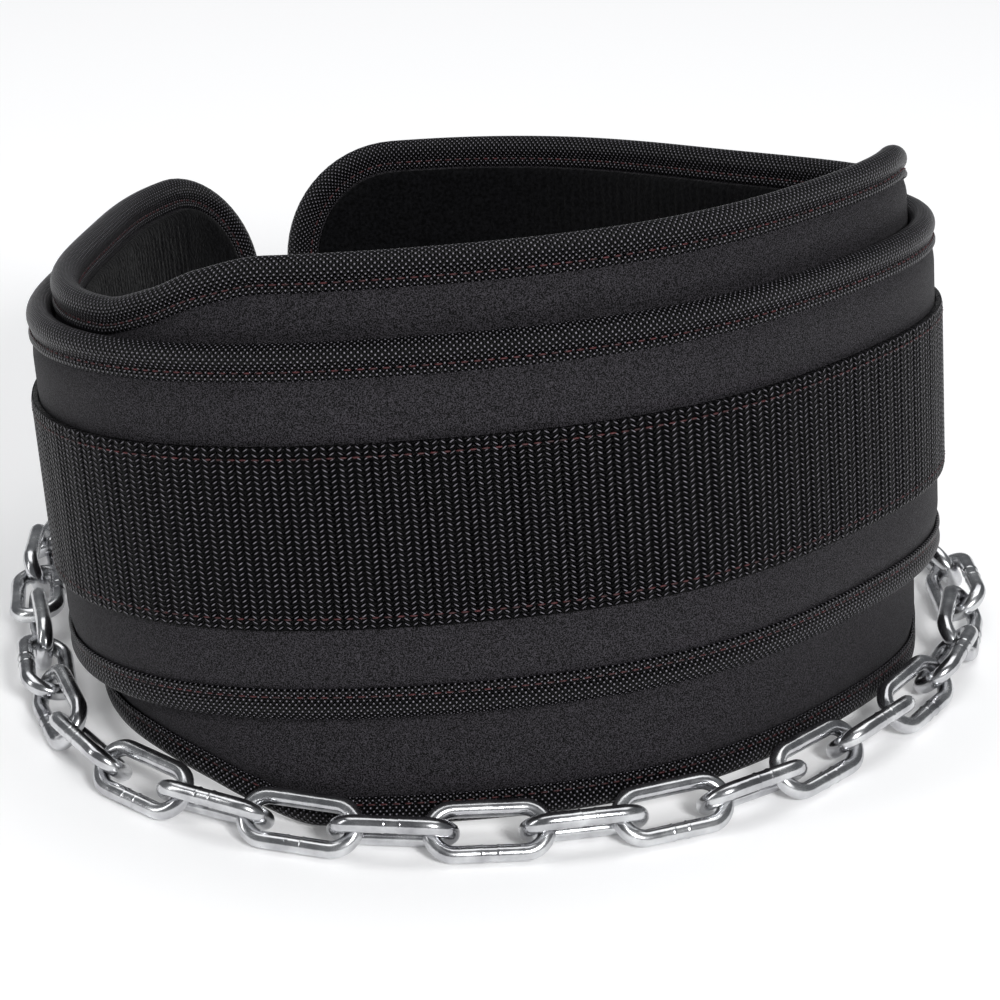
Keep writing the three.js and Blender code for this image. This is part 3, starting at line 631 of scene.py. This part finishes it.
web_at = np.linspace(0, web_length[-1], round(web_length[-1] / WEB_STEP) + 1)
web_line = np.stack([np.interp(web_at, web_length, web_corners[:, k]) for k in (0, 1)], -1)
web_way = np.gradient(web_line, axis=0)
web_way /= np.linalg.norm(web_way, axis=1, keepdims=True)
web_side = np.stack([-web_way[:, 1], web_way[:, 0]], -1)
web_up = BAND_CENTRE + WEB_HALF_WIDTH * np.linspace(-1, 1, WEB_ROWS)
web_column = np.abs(np.sin(np.pi * web_at / WEB_COLUMN))[:, None]
web_to_edge = WEB_HALF_WIDTH - np.abs(web_up - BAND_CENTRE)
web_border = np.clip(web_to_edge / SELVEDGE, SELVEDGE_RELIEF, 1)
web_rise = WEB_RELIEF * (np.sqrt(web_column) * web_border - 0.5)
web_outer = WEB_THICKNESS / 2 + web_rise


def web_points(offset, up):
    """Points set off from the strap's middle line, at heights across its width."""
    along = web_line[:, :1] + web_side[:, :1] * offset
    return place(along, up, web_line[:, 1:] + web_side[:, 1:] * offset)


web_face = web_points(web_outer, web_up)
web_down = web_up[::-WEB_BACK_STEP]
web_back = web_points(-WEB_THICKNESS / 2, web_down)
web_skin = np.concatenate([web_face, web_back], 1)
web_around = np.concatenate([web_up, web_down + WEB_BACK_UV])
web_around = np.append(web_around - web_around[0], WEB_UV_END)
webbing = strip_mesh("webbing_strap", web_skin, web_at, web_around, False)

# As on the tape, the webbing's yarn tops are painted light grey as glints, and the gaps between them are
# painted a deeper black as shade.
WEB_PAINTED_GLINT = (0.27, 0.255, 0.29)
web, web_tree, web_shader = new_material("herringbone_webbing", roughness=0.32)
web_weave = add_group(
    web_tree, WEAVE, Column=WEB_COLUMN, Row=0.0015, Slant=0.9, Unevenness=0.35
)
web_height = web_weave.outputs["Height"]
web_colour_and_painted_glint = ramp(web_tree, web_height, low=0.58, high=0.95, dark=YARN_BLACK_AND_GAP_SHADE, light=WEB_PAINTED_GLINT)
web_tree.links.new(web_colour_and_painted_glint, web_shader.inputs["Base Color"])
web_shader.inputs["Specular IOR Level"].default_value = 0.07
bump(web_tree, web_shader, web_height, distance=0.0008, strength=1.0)
settle(webbing, web, "web", "webbing")

# Seams: dark red thread in long machine stitches, in the groove of each binding and along
# both edges of the webbing. Each row is one piece of thread that shows as short loops.
STITCH_PITCH = 0.0034
STITCH_LENGTH = 0.0024
STITCH_THICKNESS = 0.00055
STITCH_LIFT = 0.0001
WEB_SEAM_UP = 0.0222
WEB_SEAM_SHORT = 0.016
WEB_SEAM_POINTS = 400
THREAD_DARK = (0.012, 0.001, 0.002)
THREAD_LIGHT = (0.06, 0.004, 0.006)


def geometry_tree(name, inputs):
    """An empty geometry tree with its named inputs, and its two ends."""
    tree = bpy.data.node_groups.new(name, "GeometryNodeTree")
    tree.interface.new_socket("Geometry", in_out="INPUT", socket_type="NodeSocketGeometry")
    for label, kind in inputs:
        tree.interface.new_socket(label, in_out="INPUT", socket_type=kind)
    tree.interface.new_socket("Geometry", in_out="OUTPUT", socket_type="NodeSocketGeometry")
    return tree, tree.nodes.new("NodeGroupInput"), tree.nodes.new("NodeGroupOutput")


def run_tree(piece, tree, values):
    """Runs a geometry tree on a piece and keeps its result as a plain mesh."""
    modifier = piece.modifiers.new(tree.name, "NODES")
    modifier.node_group = tree
    for item in tree.interface.items_tree:
        if item.in_out == "INPUT" and item.name in values:
            modifier[item.identifier] = values[item.name]
    shown = piece.evaluated_get(bpy.context.evaluated_depsgraph_get())
    mesh = bpy.data.meshes.new_from_object(shown)
    piece.modifiers.clear()
    piece.data = mesh


STITCHES, stitch_in, stitch_out = geometry_tree(
    "stitch_row",
    [
        ("Pitch", "NodeSocketFloat"),
        ("Stitch", "NodeSocketVector"),
        ("Thread", "NodeSocketMaterial"),
    ],
)
stitch_curve = STITCHES.nodes.new("GeometryNodeMeshToCurve")
stitch_spaced = STITCHES.nodes.new("GeometryNodeResampleCurve")
stitch_spaced.mode = "LENGTH"
stitch_ball = STITCHES.nodes.new("GeometryNodeMeshUVSphere")
stitch_ball.inputs["Segments"].default_value = 6
stitch_ball.inputs["Rings"].default_value = 4
stitch_ball.inputs["Radius"].default_value = 0.5
stitch_copies = STITCHES.nodes.new("GeometryNodeInstanceOnPoints")
stitch_way = STITCHES.nodes.new("GeometryNodeInputTangent")
stitch_turn = STITCHES.nodes.new("FunctionNodeAlignRotationToVector")
stitch_turn.axis = "X"
stitch_real = STITCHES.nodes.new("GeometryNodeRealizeInstances")
stitch_finish = STITCHES.nodes.new("GeometryNodeSetMaterial")
for source, target in (
    (stitch_in.outputs["Geometry"], stitch_curve.inputs["Mesh"]),
    (stitch_curve.outputs["Curve"], stitch_spaced.inputs["Curve"]),
    (stitch_in.outputs["Pitch"], stitch_spaced.inputs["Length"]),
    (stitch_spaced.outputs["Curve"], stitch_copies.inputs["Points"]),
    (stitch_ball.outputs["Mesh"], stitch_copies.inputs["Instance"]),
    (stitch_way.outputs["Tangent"], stitch_turn.inputs["Vector"]),
    (stitch_turn.outputs["Rotation"], stitch_copies.inputs["Rotation"]),
    (stitch_in.outputs["Stitch"], stitch_copies.inputs["Scale"]),
    (stitch_copies.outputs["Instances"], stitch_real.inputs["Geometry"]),
    (stitch_real.outputs["Geometry"], stitch_finish.inputs["Geometry"]),
    (stitch_in.outputs["Thread"], stitch_finish.inputs["Material"]),
    (stitch_finish.outputs["Geometry"], stitch_out.inputs["Geometry"]),
):
    STITCHES.links.new(source, target)

thread, thread_tree, thread_shader = new_material("dark_red_thread", roughness=0.6)
thread_grain = add_group(thread_tree, GRAIN, Loops_per_Metre=2500.0, Wear_Scale=300.0)
thread_wear = thread_grain.outputs["Wear"]
thread_colour = ramp(thread_tree, thread_wear, low=0.35, high=0.65, dark=THREAD_DARK, light=THREAD_LIGHT)
thread_tree.links.new(thread_colour, thread_shader.inputs["Base Color"])
bump(thread_tree, thread_shader, thread_grain.outputs["Height"], distance=0.0001, strength=0.5)


def line_piece(name, points, closed):
    """An object made only of edges, for a geometry tree to follow."""
    count = len(points)
    edges = [(k, k + 1) for k in range(count - 1)]
    if closed:
        edges.append((count - 1, 0))
    mesh = bpy.data.meshes.new(name)
    mesh.from_pydata(points.tolist(), edges, [])
    piece = bpy.data.objects.new(name, mesh)
    bpy.context.collection.objects.link(piece)
    return piece


def stitch_row(name, points, closed, slot):
    piece = line_piece(name, points, closed)
    stitch = (STITCH_LENGTH, STITCH_THICKNESS, STITCH_THICKNESS)
    run_tree(piece, STITCHES, {"Pitch": STITCH_PITCH, "Stitch": stitch, "Thread": thread})
    piece.data.shade_smooth()
    settle(piece, None, slot)


def hem_seam(strip, face):
    """The groove that a binding is stitched in, on the outer (1) or inner (-1) face."""
    path, up = binding_path(strip, BINDING_STEP)
    along = path[:, 0] + path[:, 2] * GROOVE_AT
    height = up + path[:, 3] * GROOVE_AT
    out = strip["out"] + face * (GROOVE_OUT * strip["roll"] + STITCH_LIFT)
    return place(along, height, out)


stitch_row("pad_seam_outside", hem_seam(PAD, 1), True, "tape")
stitch_row("pad_seam_inside", hem_seam(PAD, -1), True, "tape")
stitch_row("band_seam", hem_seam(BAND, 1), True, "tape")
seam_reach = web_flat - WEB_SEAM_SHORT
seam_run = np.linspace(-seam_reach, seam_reach, WEB_SEAM_POINTS)
seam_out = web_on_band + WEB_THICKNESS / 2 + STITCH_LIFT
for seam_name, seam_up in (("top", WEB_SEAM_UP), ("bottom", -WEB_SEAM_UP)):
    seam_line = place(seam_run, BAND_CENTRE + seam_up, seam_out)
    stitch_row("webbing_seam_" + seam_name, seam_line, False, "web")

# Chain: welded steel links of bright zinc-plated wire, interlocked and lying rolled to either
# side in turn. Each link's weld shows as two fine ridges in the middle of one side.
LINK_LENGTH = 0.0366
LINK_WIDTH = 0.0176
LINK_WIRE = 0.0049
WELD_HALF_WIDTH = 0.0022
WELD_RIDGE = 0.0004
WELD_SWELL = 0.07
WIRE_SIDES = 16
BEND_POINTS = 17
RIDGE_SHAPE = np.array([-1.5, -1, 0, 1, 1.5])
BAR_END = 0.6
STEEL_DARK = (0.4, 0.4, 0.42)
STEEL_LIGHT = (0.76, 0.77, 0.78)
STEEL_SMOOTHEST = 0.1
STEEL_ROUGHER = 0.25

WIRES, wire_in, wire_out = geometry_tree(
    "bent_wire",
    [("Radius", "NodeSocketFloat"), ("Sides", "NodeSocketInt"), ("Metal", "NodeSocketMaterial")],
)
wire_curve = WIRES.nodes.new("GeometryNodeMeshToCurve")
wire_swell = WIRES.nodes.new("GeometryNodeInputNamedAttribute")
wire_swell.data_type = "FLOAT"
wire_swell.inputs["Name"].default_value = "swell"
wire_round = WIRES.nodes.new("GeometryNodeCurvePrimitiveCircle")
wire_skin = WIRES.nodes.new("GeometryNodeCurveToMesh")
wire_real = WIRES.nodes.new("GeometryNodeRealizeInstances")
wire_finish = WIRES.nodes.new("GeometryNodeSetMaterial")
for source, target in (
    (wire_in.outputs["Geometry"], wire_curve.inputs["Mesh"]),
    (wire_curve.outputs["Curve"], wire_skin.inputs["Curve"]),
    (wire_in.outputs["Radius"], wire_round.inputs["Radius"]),
    (wire_in.outputs["Sides"], wire_round.inputs["Resolution"]),
    (wire_round.outputs["Curve"], wire_skin.inputs["Profile Curve"]),
    (wire_swell.outputs["Attribute"], wire_skin.inputs["Scale"]),
    (wire_skin.outputs["Mesh"], wire_real.inputs["Geometry"]),
    (wire_real.outputs["Geometry"], wire_finish.inputs["Geometry"]),
    (wire_in.outputs["Metal"], wire_finish.inputs["Material"]),
    (wire_finish.outputs["Geometry"], wire_out.inputs["Geometry"]),
):
    WIRES.links.new(source, target)

steel, steel_tree, steel_shader = new_material("bright_zinc_steel", roughness=0.2)
steel_shader.inputs["Metallic"].default_value = 1.0
steel_grain = add_group(steel_tree, GRAIN, Loops_per_Metre=900.0, Wear_Scale=140.0)
steel_wear = steel_grain.outputs["Wear"]
steel_colour = ramp(steel_tree, steel_wear, low=0.3, high=0.7, dark=STEEL_DARK, light=STEEL_LIGHT)
steel_tree.links.new(steel_colour, steel_shader.inputs["Base Color"])
steel_rough = math_node(
    steel_tree, "MULTIPLY_ADD", steel_wear, STEEL_ROUGHER, STEEL_SMOOTHEST
)
steel_tree.links.new(steel_rough, steel_shader.inputs["Roughness"])
bump(steel_tree, steel_shader, steel_wear, distance=0.0004, strength=0.35)


def node_axes(name):
    """Middle of a CAD node's mesh and its three axes, longest first."""
    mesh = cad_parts[name].data
    points = np.empty(len(mesh.vertices) * 3)
    mesh.vertices.foreach_get("co", points)
    points = points.reshape(-1, 3)
    centre = points.mean(0)
    axes = np.linalg.svd(points - centre, full_matrices=False)[2]
    spread = (points - centre) @ axes.T
    return centre + (spread.min(0) + spread.max(0)) / 2 @ axes, axes


def wire_piece(name, line, swell, radius):
    """Round steel wire along a closed line, in place of the node of the same name."""
    piece = line_piece(name, line, True)
    layer = piece.data.attributes.new("swell", "FLOAT", "POINT")
    layer.data.foreach_set("value", swell)
    run_tree(piece, WIRES, {"Radius": radius, "Sides": WIRE_SIDES, "Metal": steel})
    left_over = piece.data.attributes.get("swell")
    if left_over:
        piece.data.attributes.remove(left_over)
    piece.data.shade_smooth()
    settle(piece, None, "steel", name[: -len("_steel")])


def oval_line(length, width, wire, weld):
    """Centreline of an oval and how far its wire swells, with a weld where asked."""
    radius = (width - wire) / 2
    straight = (length - width) / 2
    bend = np.radians(np.linspace(-90, 90, BEND_POINTS))
    ridges = WELD_HALF_WIDTH + RIDGE_SHAPE * WELD_RIDGE
    end = straight * BAR_END
    bar = np.concatenate([[end], ridges[::-1], -ridges, [-end]])
    top = np.stack([bar, np.full(len(bar), radius)], -1)
    right = np.stack([straight + radius * np.cos(bend), radius * np.sin(bend)], -1)
    line = np.concatenate([right, top, -right, -top])
    swell = np.ones(len(line))
    if weld:
        at = len(right) + 3
        swell[[at, at + 5]] = 1 + WELD_SWELL
        swell[at + 1 : at + 5] = 1 - WELD_SWELL / 3
    return line, swell


link_names = sorted(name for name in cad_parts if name.startswith("link_"))
link_line, link_swell = oval_line(LINK_LENGTH, LINK_WIDTH, LINK_WIRE, True)
for link_name in link_names:
    link_centre, link_axes = node_axes(link_name)
    # The weld is on the lower side of the even links, and on the upper side of the odd ones.
    upward = link_axes[1][2] > 0
    even = int(link_name[-2:]) % 2 == 0
    if upward == even:
        link_axes[1] *= -1
    link_points = link_centre + link_line @ link_axes[:2]
    wire_piece(link_name + "_steel", link_points, link_swell, LINK_WIRE / 2)

# Connectors: a plain oval of steel wire at each end of the chain. It hangs from the ring's
# lower arm, and the end link passes through it.
CONNECTOR_LENGTH = 0.038
CONNECTOR_WIDTH = 0.018
CONNECTOR_WIRE = 0.005
oval, oval_swell = oval_line(CONNECTOR_LENGTH, CONNECTOR_WIDTH, CONNECTOR_WIRE, False)
for connector_name in ("connector_left", "connector_right"):
    oval_centre, oval_axes = node_axes(connector_name)
    oval_points = oval_centre + oval @ oval_axes[:2]
    wire_piece(connector_name + "_steel", oval_points, oval_swell, CONNECTOR_WIRE / 2)

# D-rings: round wire with an upright bar in the fold of the webbing, two short arms and a
# round end toward the gap. The ends of the belt are joined to the chain by them.
RING_HALF_HEIGHT = 0.029
RING_ARM = 0.013
RING_ROUND = 0.015
RING_CORNER = 0.004
SMALL_STEP = 0.001
ring_fillet = np.radians(np.linspace(180, 90, 6))
ring_bend = np.radians(np.linspace(90, 0, 12))
fillet_ahead = RING_CORNER * (1 + np.cos(ring_fillet))
fillet_up = RING_HALF_HEIGHT - RING_CORNER * (1 - np.sin(ring_fillet))
bend_ahead = RING_ARM + RING_ROUND * np.cos(ring_bend)
bend_up = RING_HALF_HEIGHT * np.sin(ring_bend)
ring_half = np.concatenate(
    [
        [[0, 0], [0, RING_HALF_HEIGHT / 2]],
        np.stack([fillet_ahead, fillet_up], -1),
        np.stack([bend_ahead, bend_up], -1),
    ]
)
ring_line = np.concatenate([ring_half, ring_half[-2:0:-1] * (1, -1)])
for ring_side, ring_name in ((-1, "ring_left"), (1, "ring_right")):
    ring_bar = place(ring_side * web_bar, BAND_CENTRE, web_over_hem)
    ring_upright = place(ring_side * web_bar, BAND_CENTRE + SMALL_STEP, web_over_hem) - ring_bar
    ring_upright /= np.linalg.norm(ring_upright)
    ring_ahead = place(ring_side * (web_bar + SMALL_STEP), BAND_CENTRE, web_over_hem) - ring_bar
    ring_ahead -= ring_upright * ring_ahead.dot(ring_upright)
    ring_ahead /= np.linalg.norm(ring_ahead)
    ring_points = ring_bar + ring_line[:, :1] * ring_ahead + ring_line[:, 1:] * ring_upright
    wire_piece(ring_name + "_steel", ring_points, np.ones(len(ring_line)), RING_WIRE / 2)
